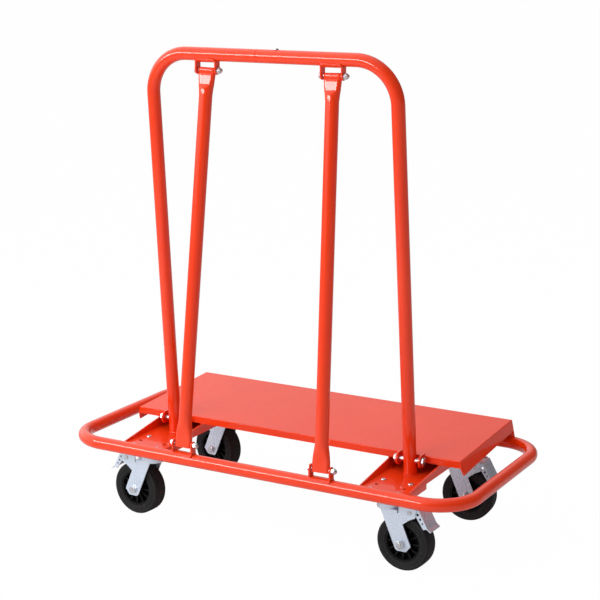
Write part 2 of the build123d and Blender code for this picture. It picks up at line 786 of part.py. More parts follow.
def make_rim(base):
    """Moulded rim: hub, thin web with ribs on both sides, and a barrel."""
    hub_plane = side_plane(base, 0)
    barrel_radius = tyre_seat_radius - rim_barrel
    draft = 1.0
    rib_half = rim_half_width - 3 * draft
    with BuildPart(base) as rim:
        with BuildSketch(Plane(base.from_local_coords((trail, 0, wheel_radius)), x_dir=(0, 0, 1),
                               z_dir=base.x_dir)):
            with BuildLine():
                half_profile = [(sleeve_radius + running_gap, hub_half_width), (hub_radius, hub_half_width),
                                (hub_radius + draft, rim_web_half),
                                (barrel_radius - 2 * draft, rim_web_half),
                                (barrel_radius, rim_half_width), (tyre_seat_radius, rim_half_width)]
                Polyline(*half_profile, *[(r, -w) for r, w in reversed(half_profile)], close=True)
            make_face()
        revolve(axis=across_axis(base, trail, wheel_radius))
        for index in range(rib_count):
            with BuildSketch(hub_plane.offset(-rib_half)):
                with Locations((trail, wheel_radius)):
                    with PolarLocations(hub_radius - draft, 1, start_angle=index * 360 / rib_count):
                        Rectangle(barrel_radius - hub_radius, rib_thickness,
                                  align=(Align.MIN, Align.CENTER))
            extrude(amount=2 * rib_half)
    return rim.part


def make_axle_sleeve(base):
    with BuildPart(base) as sleeve:
        with BuildSketch(side_plane(base, fork_half_gap)):
            with Locations((trail, wheel_radius)):
                Circle(sleeve_radius)
                Circle(axle_radius + running_gap, mode=Mode.SUBTRACT)
        extrude(amount=2 * fork_half_gap)
    return sleeve.part


def make_pedal(base):
    """Stamped lever: a sloping tread plate, two side flanges with the pivot
    holes and small drain holes, and a shoe that meets the tyre."""
    drain_holes = [(78.5, 137.5, 3), (84.5, 128, 2.6), (90, 119, 2.2)]
    shoe = [(92, 124), (84, 121), (86.5, 117), (95, 119)]
    shoe_half_width = 12
    tread = [(52, 147.2), (80, 150), (102, 110), (111, 103.5)]
    flange = [(52, 146), (54, 131), (68, 131), (75, 131), (92.5, 105.5), (101.5, 109), (79.5, 149)]
    with BuildPart(base) as pedal:
        with BuildSketch(side_plane(base, pedal_half_width)):
            with BuildLine():
                top_line = Polyline(*tread)
                inner_line = Polyline((52, 147.2 - pedal_sheet), (78.6, 150 - pedal_sheet),
                                      (100.4, 108), (109.8, 101.5))
                Line(top_line @ 0, inner_line @ 0)
                Line(top_line @ 1, inner_line @ 1)
            make_face()
        extrude(amount=2 * pedal_half_width)
        for start in (pedal_half_width, -pedal_half_width + pedal_sheet):
            with BuildSketch(side_plane(base, start)):
                with BuildLine():
                    Polyline(*flange, close=True)
                make_face()
                for u, z, radius in drain_holes:
                    with Locations((u, z)):
                        Circle(radius, mode=Mode.SUBTRACT)
            extrude(amount=pedal_sheet)
        # shoe: a tongue bent down from the tread plate
        with BuildSketch(side_plane(base, shoe_half_width)):
            with BuildLine():
                Polyline(*shoe, close=True)
            make_face()
        extrude(amount=2 * shoe_half_width)
        with BuildSketch(side_plane(base, pedal_half_width)):
            with Locations((pedal_pivot_u, pedal_pivot_z)):
                Circle(pedal_pin_radius + running_gap)
        extrude(amount=2 * pedal_half_width, mode=Mode.SUBTRACT)
    return pedal.part


def make_pedal_pin(base):
    """Rivet through both cheeks, with a flat head outside each."""
    outer = fork_half_gap + fork_sheet
    head = 1.8
    with BuildPart(base) as pin:
        with BuildSketch(side_plane(base, outer)):
            with Locations((pedal_pivot_u, pedal_pivot_z)):
                Circle(pedal_pin_radius)
        extrude(amount=2 * outer)
        for start in (outer + head, -outer):
            with BuildSketch(side_plane(base, start)):
                with Locations((pedal_pivot_u, pedal_pivot_z)):
                    Circle(pedal_pin_radius + head)
            extrude(amount=head)
    return pin.part


def make_spring(base):
    """Return spring: a coil around the pedal pin, one leg under the tread and
    one against the fork's dome. Wound about Z, then laid on the pin."""
    coil_length = spring_turns * spring_pitch
    tread_leg = 14
    dome_leg = 27
    with BuildPart() as spring:
        with BuildLine() as coil:
            Helix(pitch=spring_pitch, height=coil_length, radius=spring_radius)
        with BuildSketch(Plane(coil.line @ 0, z_dir=coil.line % 0)):
            Circle(spring_wire)
        sweep(path=coil.line, is_frenet=True)
        ends = spring.faces().filter_by(GeomType.PLANE).sort_by(Axis.Z)
        extrude(ends[0], amount=tread_leg)
        extrude(ends[-1], amount=dome_leg)
    start = base.from_local_coords((pedal_pivot_u, coil_length / 2, pedal_pivot_z))
    pin_plane = Plane(start, x_dir=(0, 0, 1), z_dir=-base.y_dir)
    return spring.part.moved(pin_plane.location)


for name, side_x, side_y, angle in casters:
    base = caster_plane(side_x, side_y, angle)
    outer = fork_half_gap + fork_sheet
    head_spot = base.from_local_coords((trail, outer, wheel_radius))
    nut_spot = base.from_local_coords((trail, -outer, wheel_radius))
    head_seat = Plane(head_spot, x_dir=(0, 0, 1), z_dir=base.y_dir)
    nut_seat = Plane(nut_spot, x_dir=(0, 0, 1), z_dir=-base.y_dir)
    axle_length = 2 * outer + nut_m10 + thread_end
    finish(make_fork(base), f"fork_{name}")
    finish(make_bolt(head_seat, axle_radius, axle_length, hex_m10, head_m10), f"axle_bolt_{name}")
    finish(make_nut(nut_seat, axle_radius + thread_gap, hex_m10, nut_m10), f"axle_nut_{name}")
    finish(make_axle_sleeve(base), f"axle_sleeve_{name}")
    finish(make_tyre(base), f"tyre_{name}")
    finish(make_rim(base), f"rim_{name}")
    finish(make_pedal(base), f"brake_pedal_{name}")
    finish(make_pedal_pin(base), f"pedal_pin_{name}")
    finish(make_spring(base), f"pedal_spring_{name}")
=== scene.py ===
import json
from math import acos, atan2, ceil, cos, pi, radians, sin, tan

import bmesh
import bpy
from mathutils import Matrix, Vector, noise


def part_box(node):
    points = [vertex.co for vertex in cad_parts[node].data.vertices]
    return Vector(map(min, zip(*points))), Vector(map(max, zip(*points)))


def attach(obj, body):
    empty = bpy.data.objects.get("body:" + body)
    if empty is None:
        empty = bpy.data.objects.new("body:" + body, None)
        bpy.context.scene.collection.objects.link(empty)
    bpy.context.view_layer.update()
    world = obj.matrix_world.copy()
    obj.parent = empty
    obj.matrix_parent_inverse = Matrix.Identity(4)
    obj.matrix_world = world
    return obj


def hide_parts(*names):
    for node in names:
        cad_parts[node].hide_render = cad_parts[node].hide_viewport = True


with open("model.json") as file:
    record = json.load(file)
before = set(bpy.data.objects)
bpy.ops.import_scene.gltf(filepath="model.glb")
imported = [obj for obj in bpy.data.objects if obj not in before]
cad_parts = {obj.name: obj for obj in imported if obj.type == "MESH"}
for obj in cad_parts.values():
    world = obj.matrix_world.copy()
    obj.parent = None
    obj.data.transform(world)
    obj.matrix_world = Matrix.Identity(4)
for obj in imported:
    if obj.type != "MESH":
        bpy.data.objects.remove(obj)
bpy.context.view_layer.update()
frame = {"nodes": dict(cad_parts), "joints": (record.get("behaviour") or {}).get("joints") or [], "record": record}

MM = 0.001
ROOT = "cart_frame"
CASTERS = ("front_left", "front_right", "back_left", "back_right")

X = Vector((1, 0, 0))
Y = Vector((0, 1, 0))
Z = Vector((0, 0, 1))

# sizes that the boxes of the CAD nodes don't tell, in metres
TUBE_WALL = 2 * MM
RING_CORNER = 92 * MM
UPRIGHT_CORNER = 94 * MM
LEG_INWARD = 8.3 * MM       # each leg leans in by this much from its foot to the top bar
TUBE_SIDES = 48
CORNER_STEPS = 24

# the ring and the tubes, from the frame
ring_low, ring_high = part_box("bumper_ring")
TUBE_RADIUS = (ring_high.z - ring_low.z) / 2
RING_HEIGHT = (ring_high.z + ring_low.z) / 2
RING_HALF_LENGTH = ring_high.x - TUBE_RADIUS
RING_HALF_WIDTH = ring_high.y - TUBE_RADIUS


# ---------------------------------------------------------------- materials
class Graph:
    """A material's node tree, with short calls for the nodes used here."""

    def __init__(self, name):
        self.material = bpy.data.materials.new(name)
        self.material.use_nodes = True
        self.tree = self.material.node_tree
        self.tree.nodes.clear()
        self.out = self.tree.nodes.new("ShaderNodeOutputMaterial")
        self.shader = self.tree.nodes.new("ShaderNodeBsdfPrincipled")
        self.tree.links.new(self.shader.outputs[0], self.out.inputs["Surface"])
        self.coord = self.tree.nodes.new("ShaderNodeTexCoord").outputs["Object"]

    def put(self, socket, value):
        """Feeds a socket with another node's output or with a plain value."""
        if isinstance(value, bpy.types.NodeSocket):
            self.tree.links.new(value, socket)
        elif hasattr(socket.default_value, "__len__") and len(socket.default_value) == 4:
            socket.default_value = (*value, 1.0) if len(value) == 3 else value
        else:
            socket.default_value = value

    def set(self, **inputs):
        for key, value in inputs.items():
            self.put(self.shader.inputs[key.replace("_", " ")], value)

    def math(self, operation, first, second=0.0):
        node = self.tree.nodes.new("ShaderNodeMath")
        node.operation = operation
        self.put(node.inputs[0], first)
        self.put(node.inputs[1], second)
        return node.outputs[0]

    def stretch(self, x, y, z):
        """Object coordinates scaled per axis, for streaks and brushed grain."""
        node = self.tree.nodes.new("ShaderNodeMapping")
        node.inputs["Scale"].default_value = (x, y, z)
        self.tree.links.new(self.coord, node.inputs["Vector"])
        return node.outputs[0]

    def noise(self, scale, detail=3.0, roughness=0.5, coord=None):
        node = self.tree.nodes.new("ShaderNodeTexNoise")
        node.inputs["Scale"].default_value = scale
        node.inputs["Detail"].default_value = detail
        node.inputs["Roughness"].default_value = roughness
        self.tree.links.new(coord or self.coord, node.inputs["Vector"])
        return node.outputs["Fac"]

    def band(self, value, low, high, out_low=0.0, out_high=1.0):
        """Maps value from low..high to out_low..out_high, clamped."""
        node = self.tree.nodes.new("ShaderNodeMapRange")
        self.put(node.inputs["Value"], value)
        node.inputs["From Min"].default_value = low
        node.inputs["From Max"].default_value = high
        node.inputs["To Min"].default_value = out_low
        node.inputs["To Max"].default_value = out_high
        return node.outputs[0]

    def mix(self, factor, first, second):
        node = self.tree.nodes.new("ShaderNodeMix")
        node.data_type = "RGBA"
        colours = [socket for socket in node.inputs if socket.type == "RGBA"]
        self.put(node.inputs["Factor"], factor)
        self.put(colours[0], first)
        self.put(colours[1], second)
        return [socket for socket in node.outputs if socket.type == "RGBA"][0]

    def bump(self, height, distance, strength=1.0, below=None):
        node = self.tree.nodes.new("ShaderNodeBump")
        node.inputs["Strength"].default_value = strength
        node.inputs["Distance"].default_value = distance
        self.tree.links.new(height, node.inputs["Height"])
        if below is not None:
            self.tree.links.new(below, node.inputs["Normal"])
        return node.outputs[0]

    def edges(self, radius):
        """1 on sharp edges, 0 on flat faces."""
        bevel = self.tree.nodes.new("ShaderNodeBevel")
        bevel.samples = 4
        bevel.inputs["Radius"].default_value = radius
        geometry = self.tree.nodes.new("ShaderNodeNewGeometry")
        dot = self.tree.nodes.new("ShaderNodeVectorMath")
        dot.operation = "DOT_PRODUCT"
        self.tree.links.new(bevel.outputs[0], dot.inputs[0])
        self.tree.links.new(geometry.outputs["Normal"], dot.inputs[1])
        return self.band(dot.outputs["Value"], 0.995, 0.90)

    def facing_up(self):
        geometry = self.tree.nodes.new("ShaderNodeNewGeometry")
        split = self.tree.nodes.new("ShaderNodeSeparateXYZ")
        self.tree.links.new(geometry.outputs["Normal"], split.inputs[0])
        return split.outputs["Z"]


def enamel(name, gloss, scuffs):
    """Orange-red powder coat with a fine orange peel. Gloss is the weight of
    its clear top layer. Scuffs is how strongly fine rubbed lines and dust
    show on the faces that look up."""
    g = Graph(name)
    cloudy = g.noise(7, 3)
    base = g.mix(g.band(cloudy, 0.35, 0.65), (0.84, 0.038, 0.003), (0.87, 0.045, 0.004))
    # the edges painted lighter in patches: partly wear, partly a painted highlight along the edges
    worn_and_highlit = g.math("MULTIPLY", g.edges(0.8 * MM), g.band(g.noise(140, 3), 0.52, 0.70))
    base = g.mix(g.math("MULTIPLY", worn_and_highlit, 0.45), base, (0.90, 0.16, 0.07))
    rough = g.band(g.noise(55, 4), 0.3, 0.7, 0.30, 0.36)
    if scuffs:
        level = g.band(g.facing_up(), 0.85, 1.0)
        streaks = g.band(g.noise(1, 5, 0.6, g.stretch(14, 420, 420)), 0.55, 0.80)
        dust = g.math("MULTIPLY", level, g.band(g.noise(26, 5, 0.65), 0.40, 0.85))
        base = g.mix(g.math("MULTIPLY", dust, 0.10 * scuffs), base, (0.80, 0.22, 0.15))
        rubbed = g.math("MULTIPLY", streaks, level)
        rough = g.math("ADD", rough, g.math("MULTIPLY", rubbed, 0.10 * scuffs))
    g.set(Base_Color=base, Roughness=rough, Normal=g.bump(g.noise(300, 2), 0.008 * MM, 0.4),
          Specular_IOR_Level=0.12, Coat_Weight=gloss, Coat_Roughness=0.08)
    return g.material


def zinc(name):
    """Bright bluish zinc plate on pressed sheet: softly cloudy, finely scratched."""
    g = Graph(name)
    cloudy = g.noise(30, 4, 0.55)
    base = g.mix(g.band(cloudy, 0.3, 0.7), (0.71, 0.82, 0.97), (0.76, 0.86, 0.98))
    warm = g.band(g.noise(21, 2), 0.60, 0.74, 0, 0.10)
    base = g.mix(warm, base, (0.76, 0.72, 0.64))
    # the edges painted whiter: partly wear, partly a painted highlight along the edges
    worn_and_highlit = g.math("MULTIPLY", g.edges(0.6 * MM), 0.6)
    base = g.mix(worn_and_highlit, base, (0.88, 0.91, 0.94))
    scratch = g.noise(1, 4, 0.6, g.stretch(900, 900, 60))
    rough = g.math("ADD", g.band(cloudy, 0.3, 0.7, 0.24, 0.32), g.band(scratch, 0.5, 0.7, 0, 0.04))
    g.set(Base_Color=base, Metallic=0.65, Roughness=rough, Normal=g.bump(scratch, 0.01 * MM, 0.2))
    return g.material


def bright_steel(name):
    """Plated fasteners: smooth, with faint turning marks, and corners painted lighter, partly as wear and partly
    as a painted highlight.
    """
    g = Graph(name)
    cloudy = g.noise(160, 3)
    base = g.mix(g.band(cloudy, 0.3, 0.7), (0.60, 0.63, 0.67), (0.76, 0.78, 0.80))
    # the corners painted near white: partly wear, partly a painted highlight
    base = g.mix(g.math("MULTIPLY", g.edges(0.4 * MM), 0.7), base, (0.95, 0.95, 0.96))
    g.set(Base_Color=base, Metallic=0.9, Roughness=g.band(g.noise(300, 3), 0.3, 0.7, 0.18, 0.32),
          Normal=g.bump(g.noise(1400, 2), 0.01 * MM, 0.5))
    return g.material


def spring_steel(name):
    g = Graph(name)
    base = g.mix(g.band(g.noise(260, 3), 0.35, 0.65), (0.16, 0.16, 0.17), (0.34, 0.33, 0.32))
    g.set(Base_Color=base, Metallic=1.0, Roughness=g.band(g.noise(420, 3), 0.3, 0.7, 0.28, 0.5),
          Normal=g.bump(g.noise(2200, 2), 0.01 * MM, 0.5))
    return g.material


def rubber(name):
    """Matte black rubber with a grey bloom, fine grain and floor dust."""
    g = Graph(name)
    bloom = g.band(g.noise(45, 4, 0.6), 0.35, 0.7)
    base = g.mix(bloom, (0.009, 0.009, 0.010), (0.017, 0.0165, 0.017))
    dust = g.math("MULTIPLY", g.band(g.noise(260, 4, 0.7), 0.55, 0.75), 0.16)
    base = g.mix(dust, base, (0.08, 0.075, 0.07))
    # the sharp edges painted lighter grey, as a painted highlight
    base = g.mix(g.math("MULTIPLY", g.edges(0.6 * MM), 0.35), base, (0.06, 0.059, 0.057))
    grain = g.bump(g.noise(1600, 3, 0.6), 0.05 * MM, 0.7)
    g.set(Base_Color=base, Roughness=g.band(bloom, 0, 1, 0.55, 0.72), Specular_IOR_Level=0.28, Normal=grain)
    return g.material


def moulded_plastic(name):
    """Black moulded rim: fine spark-eroded texture, with a painted sheen that lightens its edges."""
    g = Graph(name)
    base = g.mix(g.band(g.noise(80, 3), 0.3, 0.7), (0.004, 0.004, 0.0045), (0.008, 0.008, 0.008))
    # the edges painted lighter: a painted sheen
    base = g.mix(g.math("MULTIPLY", g.edges(0.5 * MM), 0.3), base, (0.04, 0.04, 0.042))
    g.set(Base_Color=base, Roughness=g.band(g.noise(130, 3), 0.3, 0.7, 0.45, 0.60),
          Specular_IOR_Level=0.2, Normal=g.bump(g.noise(2400, 2), 0.03 * MM, 0.6))
    return g.material


ENAMEL = enamel("red_enamel_tube", 0.9, 0.0)
ENAMEL_SHEET = enamel("red_enamel_sheet", 0.5, 0.5)
RUBBER = rubber("tyre_rubber")
MATERIALS = {
    "red_enamel": ENAMEL,
    "zinc_plate": zinc("zinc_plate"),
    "bright_steel": bright_steel("bright_steel"),
    "tyre_rubber": RUBBER,
    "black_plastic": moulded_plastic("black_plastic"),
    "spring_steel": spring_steel("spring_steel"),
}

# widths of the rounded edges on cut sheet and turned parts, by the start of the node's name
EDGE_WIDTHS = {
    "deck": 0.5, "cross_channel": 0.6, "caster_pads": 0.6, "leg_ears": 0.6, "upper_clevises": 0.6,
    "lower_clevises": 0.6, "caster_plates": 0.6, "fork": 0.6, "brake_pedal": 0.45, "leg_bolts": 0.3,
    "leg_nuts": 0.3, "brace_bolts": 0.3, "brace_dome_nuts": 0.3, "caster_nuts": 0.3, "axle_bolt": 0.3,
    "axle_nut": 0.3, "pedal_pin": 0.3, "rim": 0.5,
}


def paint_cad_nodes():
    """Gives each CAD node its slot's material, and rounds the edges of the
    sheet and turned parts."""
    for part in frame["record"]["subparts"]:
        node = part["node"]
        piece = frame["nodes"][node]
        material = MATERIALS[part["material_slot"]]
        if node.startswith(("deck", "cross_channel")):
            material = ENAMEL_SHEET
        piece.data.materials.clear()
        piece.data.materials.append(material)
        for start, width in EDGE_WIDTHS.items():
            if node.startswith(start):
                round_edges(piece, width * MM)


def round_edges(piece, width):
    weld = piece.modifiers.new("weld", "WELD")
    weld.merge_threshold = 0.002 * MM
    flat = piece.modifiers.new("flat", "DECIMATE")
    flat.decimate_type = "DISSOLVE"
    flat.angle_limit = radians(0.8)
    bevel = piece.modifiers.new("bevel", "BEVEL")
    bevel.width = width
    bevel.segments = 2
    bevel.limit_method = "ANGLE"
    bevel.angle_limit = radians(32)
    bevel.harden_normals = False
    normals = piece.modifiers.new("normals", "WEIGHTED_NORMAL")
    normals.keep_sharp = False
    normals.weight = 100


# -------------------------------------------------------------- mesh helpers
def new_piece(name, points, faces, material, body):
    """A mesh made from points and faces, smooth, riding on a body."""
    mesh = bpy.data.meshes.new(name)
    mesh.from_pydata([tuple(p) for p in points], [], faces)
    mesh.validate()
    mesh.shade_smooth()
    mesh.materials.append(material)
    piece = bpy.data.objects.new(name, mesh)
    bpy.context.scene.collection.objects.link(piece)
    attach(piece, body)
    return piece


def sharpen(piece, angle):
    """Splits the shading at edges sharper than angle, in degrees."""
    piece.data.set_sharp_from_angle(angle=radians(angle))


def skin(rings, close_rows=False, caps=False):
    """Points and faces of a surface through closed rings of equal length. The
    last ring joins the first if close_rows, or both ends are capped if caps."""
    rows = len(rings)
    columns = len(rings[0])
    faces = []
    for row in range(rows if close_rows else rows - 1):
        above = (row + 1) % rows
        for column in range(columns):
            right = (column + 1) % columns
            faces.append((row * columns + column, row * columns + right,
                          above * columns + right, above * columns + column))
    if caps:
        faces.append(tuple(reversed(range(columns))))
        faces.append(tuple(range((rows - 1) * columns, rows * columns)))
    return [point for ring in rings for point in ring], faces


def circle_ring(centre, side, up, radius, sides=TUBE_SIDES):
    return [centre + radius * (cos(2 * pi * k / sides) * side + sin(2 * pi * k / sides) * up)
            for k in range(sides)]


def rounded_path(points, radius, normal, closed):
    """Places and directions along a line of straight runs in one plane, whose
    corners are rounded. A row of points on each bend, none in between."""
    path = []
    count = len(points)
    corners = range(count) if closed else range(1, count - 1)
    if not closed:
        path.append((points[0], (points[1] - points[0]).normalized()))
    for index in corners:
        corner = points[index]
        into = (corner - points[index - 1]).normalized()
        out = (points[(index + 1) % count] - corner).normalized()
        turn = acos(max(-1, min(1, into.dot(out))))
        inward = normal.cross(into) if normal.dot(into.cross(out)) > 0 else into.cross(normal)
        start = corner - into * radius * tan(turn / 2)
        centre = start + inward * radius
        for step in range(CORNER_STEPS + 1):
            angle = turn * step / CORNER_STEPS
            place = centre + radius * (sin(angle) * into - cos(angle) * inward)
            path.append((place, cos(angle) * into + sin(angle) * inward))
    if not closed:
        path.append((points[-1], (points[-1] - points[-2]).normalized()))
    return path


def solids(node):
    """The box of each separate solid in a CAD node, ordered from -X to +X."""
    mesh = bmesh.new()
    mesh.from_mesh(frame["nodes"][node].data)
    bmesh.ops.remove_doubles(mesh, verts=mesh.verts, dist=0.002 * MM)
    boxes = []
    seen = set()
    for seed in mesh.verts:
        if seed in seen:
            continue
        seen.add(seed)
        found = [seed]
        for vertex in found:
            for edge in vertex.link_edges:
                other = edge.other_vert(vertex)
                if other not in seen:
                    seen.add(other)
                    found.append(other)
        low = Vector([min(v.co[axis] for v in found) for axis in range(3)])
        high = Vector([max(v.co[axis] for v in found) for axis in range(3)])
        boxes.append((low, high))
    mesh.free()
    return sorted(boxes, key=lambda pair: tuple(round(c, 5) for c in pair[0]))


# --------------------------------------------------------------- tube frames
def build_ring():
    """The bumper ring: one tube bent round; its butt joint at the back is not drawn."""
    corners = [Vector((x, y, RING_HEIGHT)) for x, y in (
        (-RING_HALF_LENGTH, -RING_HALF_WIDTH), (RING_HALF_LENGTH, -RING_HALF_WIDTH),
        (RING_HALF_LENGTH, RING_HALF_WIDTH), (-RING_HALF_LENGTH, RING_HALF_WIDTH))]
    rings = [circle_ring(place, direction.cross(Z), Z, TUBE_RADIUS)
             for place, direction in rounded_path(corners, RING_CORNER, Z, True)]
    points, faces = skin(rings, close_rows=True)
    piece = new_piece("ring_tube", points, faces, ENAMEL, ROOT)
    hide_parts("bumper_ring")


def build_upright(node):
    """Half of the upright frame: a leg, a bend and half of the top bar. Its
    open end at the joint shows the wall and holds the inner sleeve."""
    low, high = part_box(node)
    side = 1 if high.x > -low.x else -1
    top_y = low.y + TUBE_RADIUS
    top_z = high.z - TUBE_RADIUS
    rise = top_z - low.z
    lean = atan2(high.y - low.y - 2 * TUBE_RADIUS, rise)
    foot_x = (high.x if side > 0 else -low.x) - TUBE_RADIUS
    foot = Vector((side * foot_x, high.y - TUBE_RADIUS / cos(lean), low.z))
    corner = Vector((side * (foot_x - LEG_INWARD), top_y, top_z))
    seam = Vector((low.x if side > 0 else high.x, top_y, top_z))
    up = (corner - foot).normalized()
    normal = up.cross(seam - corner).normalized()

    rings = []
    for place, direction in rounded_path([foot, corner, seam], UPRIGHT_CORNER, normal, False):
        rings.append(circle_ring(place, normal, direction.cross(normal), TUBE_RADIUS))
    # the foot is cut flush with the web that it stands on
    rings[0] = [point + up * (low.z - point.z) / up.z for point in rings[0]]
    # the end at the joint: a small chamfer, the wall, and the bore to just past the sleeve's end
    chamfer = 0.5 * MM
    bore_depth = 80 * MM
    bore = TUBE_RADIUS - TUBE_WALL
    ahead = (seam - corner).normalized()
    rings.pop()
    for depth, radius in ((chamfer, TUBE_RADIUS), (0, TUBE_RADIUS - chamfer), (0, bore), (bore_depth, bore)):
        rings.append(circle_ring(seam - ahead * depth, normal, ahead.cross(normal), radius))
    points, faces = skin(rings, caps=True)
    piece = new_piece(node + "_tube", points, faces, ENAMEL, ROOT)
    sharpen(piece, 40)
    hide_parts(node)


# A brace's pressed ends, in millimetres: distance from the bolt, half width,
# half thickness, half width of the flat, and how far the section is pressed
# from an ellipse. The top end is pinched, with a flat facet that ends in a
# crease, below which the tube swells to its full round.
TOP_END = (
    (-6.5, 20.2, 1.4, 16.0, 1.0), (-6.0, 20.9, 3.6, 16.0, 1.0), (-4.8, 21.3, 5.3, 16.0, 1.0),
    (-2.8, 21.5, 6.5, 16.0, 1.0), (2.6, 21.5, 6.6, 15.0, 1.0), (4.4, 21.5, 5.9, 14.0, 1.0),
    (6.0, 21.5, 5.8, 13.4, 1.0), (7.2, 21.4, 7.0, 13.2, 1.0), (7.8, 21.3, 7.2, 13.0, 1.0),
    (14.0, 20.7, 7.62, 13.0, 1.0), (22.0, 19.6, 8.16, 12.8, 1.0), (30.5, 18.5, 8.73, 12.4, 1.0),
    (31.5, 18.4, 9.6, 11.4, 0.95), (35.5, 17.7, 12.6, 6.5, 0.7), (39.5, 17.0, 14.6, 2.5, 0.3),
    (43.0, 16.5, 15.0, 1.0, 0.1), (56.0, 15.0, 15.0, 0.0, 0.0),
)
# The foot is cut off square, and its hollow shows from below.
FOOT_END = (
    (6.0, 19.3, 4.8, 14.5, 1.0), (-6.5, 19.3, 4.8, 14.5, 1.0), (-6.5, 20.9, 6.4, 14.5, 1.0),
    (-6.0, 21.5, 7.0, 14.5, 1.0), (14.0, 21.5, 7.0, 14.5, 1.0), (20.0, 21.2, 7.4, 13.8, 0.98),
    (28.0, 20.4, 8.6, 11.8, 0.9), (36.0, 19.2, 10.3, 8.9, 0.75), (44.0, 17.8, 12.1, 5.7, 0.5),
    (52.0, 16.3, 13.8, 2.5, 0.25), (60.0, 15.3, 14.8, 0.5, 0.06), (68.0, 15.0, 15.0, 0.0, 0.0),
)


def pressed_ring(centre, side, face, half_width, half_thickness, straight, pressed):
    """A ring between an ellipse and a pressed section: two flats of half width
    straight, and two rounded ends."""
    half_count = TUBE_SIDES // 2
    flat_share = 0.45       # of each half's points
    end_share = (1 - flat_share) / 2
    round_part = half_width - straight
    ring = []
    for k in range(TUBE_SIDES):
        angle = 2 * pi * k / TUBE_SIDES
        # each half of the ring runs over a round end, a flat and a round end
        turn, step = divmod(k, half_count)
        share = step / half_count
        if share < end_share:
            bend = pi / 2 * share / end_share
            x, y = straight + round_part * cos(bend), half_thickness * sin(bend)
        elif share <= 1 - end_share:
            x, y = straight * (1 - 2 * (share - end_share) / flat_share), half_thickness
        else:
            bend = pi / 2 * (1 - share) / end_share
            x, y = -straight - round_part * cos(bend), half_thickness * sin(bend)
        if turn:
            x, y = -x, -y
        x = pressed * x + (1 - pressed) * half_width * cos(angle)
        y = pressed * y + (1 - pressed) * half_thickness * sin(angle)
        ring.append(centre + x * side + y * face)
    return ring


def build_brace(node, foot, top):
    """A brace tube from its foot bolt to its top bolt, pressed flat at both ends."""
    along = (top - foot).normalized()
    side = Y.cross(along).normalized()
    face = along.cross(side)
    rings = []
    for distance, width, thickness, flat, pressed in FOOT_END:
        rings.append(pressed_ring(foot + along * distance * MM, side, face, width * MM, thickness * MM,
                                  flat * MM, pressed))
    for distance, width, thickness, flat, pressed in reversed(TOP_END):
        rings.append(pressed_ring(top - along * distance * MM, side, face, width * MM, thickness * MM,
                                  flat * MM, pressed))
    points, faces = skin(rings, caps=True)
    piece = new_piece(node + "_tube", points, faces, ENAMEL, ROOT)
    sharpen(piece, 30)
    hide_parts(node)


def build_braces():
    """Each brace runs between the middles of its two clevises' bolts."""
    nuts = solids("brace_dome_nuts")
    # from -X to +X: left foot, left top, right top, right foot
    centres = []
    for ear_pair, bolt in zip(solids("lower_clevises") + solids("upper_clevises"), (0, 3, 1, 2)):
        middle = (ear_pair[0].x + ear_pair[1].x) / 2
        low, high = nuts[bolt]
        centres.append(Vector((middle, (low.y + high.y) / 2, (low.z + high.z) / 2)))
    left_foot, right_foot, left_top, right_top = centres
    build_brace("brace_left", left_foot, left_top)
    build_brace("brace_right", right_foot, right_top)


# --------------------------------------------------------------------- welds
# the beads' radii
WEB_BEAD = 2.0 * MM
PAD_BEAD = 1.3 * MM
FOOT_BEAD = 1.7 * MM
SADDLE_BEAD = 1.5 * MM
EAR_BEAD = 1.3 * MM
DECK_BEAD = 1.6 * MM
BEAD_SIDES = 10
RIPPLE = 2.3 * MM
SADDLE_EDGE = radians(51.5)     # from the top of the tube round to a clevis saddle's edge


def bead(rings_out, start, end, radius, up):
    """A weld bead along a straight line, rippled like a row of coins."""
    line = end - start
    steps = max(4, ceil(line.length / (0.8 * MM)))
    side = line.normalized().cross(up).normalized()
    rise = side.cross(line.normalized())
    rings = []
    for step in range(steps + 1):
        place = start + line * step / steps
        size = bead_radius(place, line.length * step / steps, line.length, radius)
        rings.append(circle_ring(place, side, rise, size, BEAD_SIDES))
    rings_out.append(rings)


def bead_radius(place, distance, length, radius):
    """Ripples, a slow wander, and rounded ends."""
    wander = 0.16 * noise.noise(place * 90)
    wave = 0.10 * abs(sin(pi * distance / RIPPLE))
    taper = min(1.0, (min(distance, length - distance) + 0.2 * MM) / (2.2 * radius))
    return radius * (0.92 + wave + wander) * (taper * (2 - taper)) ** 0.5


def round_bead(rings_out, centre, side, up, ring_radius, radius):
    """A weld bead around a tube where it stands on a sheet."""
    steps = 110
    ripple_count = 38
    axis = side.cross(up)
    rings = []
    for step in range(steps + 1):
        angle = 2 * pi * step / steps
        out = cos(angle) * side + sin(angle) * up
        place = centre + ring_radius * out
        wave = 0.10 * abs(sin(ripple_count * angle / 2))
        size = radius * (0.92 + wave + 0.16 * noise.noise(place * 90))
        rings.append(circle_ring(place, out, axis, size, BEAD_SIDES))
    rings_out.append(rings)


def web_beads(runs):
    """The channels' webs, welded to the front and back tubes of the ring."""
    web_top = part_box("upright_left")[0].z
    contact = (TUBE_RADIUS ** 2 - (RING_HEIGHT - web_top) ** 2) ** 0.5
    inset = 4 * MM
    lift = 0.6 * MM
    for node in ("cross_channel_left", "cross_channel_right"):
        low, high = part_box(node)
        for side in (-1, 1):
            y = side * (RING_HALF_WIDTH - contact - lift)
            start = Vector((low.x + inset, y, web_top + lift))
            bead(runs, start, Vector((high.x - inset, y, web_top + lift)), WEB_BEAD, Z)


def pad_beads(runs):
    """The caster pads, welded to the webs above them along the two edges that
    run across the cart."""
    inset = 6 * MM
    offset = 0.2 * MM
    for low, high in solids("caster_pads"):
        z = high.z - offset
        for y in (low.y - offset, high.y + offset):
            bead(runs, Vector((low.x + inset, y, z)), Vector((high.x - inset, y, z)), PAD_BEAD, Z)


